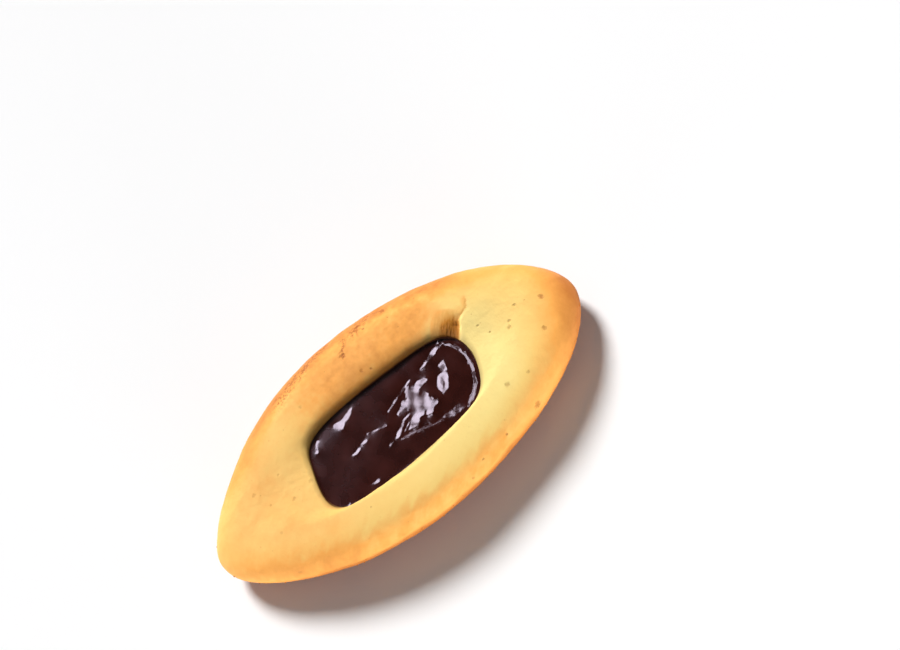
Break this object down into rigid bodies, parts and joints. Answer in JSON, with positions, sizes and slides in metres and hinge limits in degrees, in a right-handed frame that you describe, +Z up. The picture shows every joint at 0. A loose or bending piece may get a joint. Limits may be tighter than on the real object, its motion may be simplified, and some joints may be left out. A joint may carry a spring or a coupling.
{
  "type": "boat-shaped filled biscuit",
  "caption": "Boat-shaped shortcrust biscuit with pointed ends and an oblong hollow filled with glossy dark chocolate.",
  "frame": {"origin": "middle of the biscuit's box at its flat base", "axes": "+X along the boat towards the end with the pinched crease, +Y across it, +Z up out of the filled hollow"},
  "size_m": [0.081, 0.039, 0.0132],
  "materials": {
    "pastry": "dry, smooth baked shortcrust, pale gold with browned edges and small pits",
    "chocolate": "set chocolate cream, very dark red-brown, glossy and slightly rippled"
  },
  "bodies": {
    "root": {"pastry_boat": "pastry", "chocolate_filling": "chocolate"}
  },
  "joints": []
}
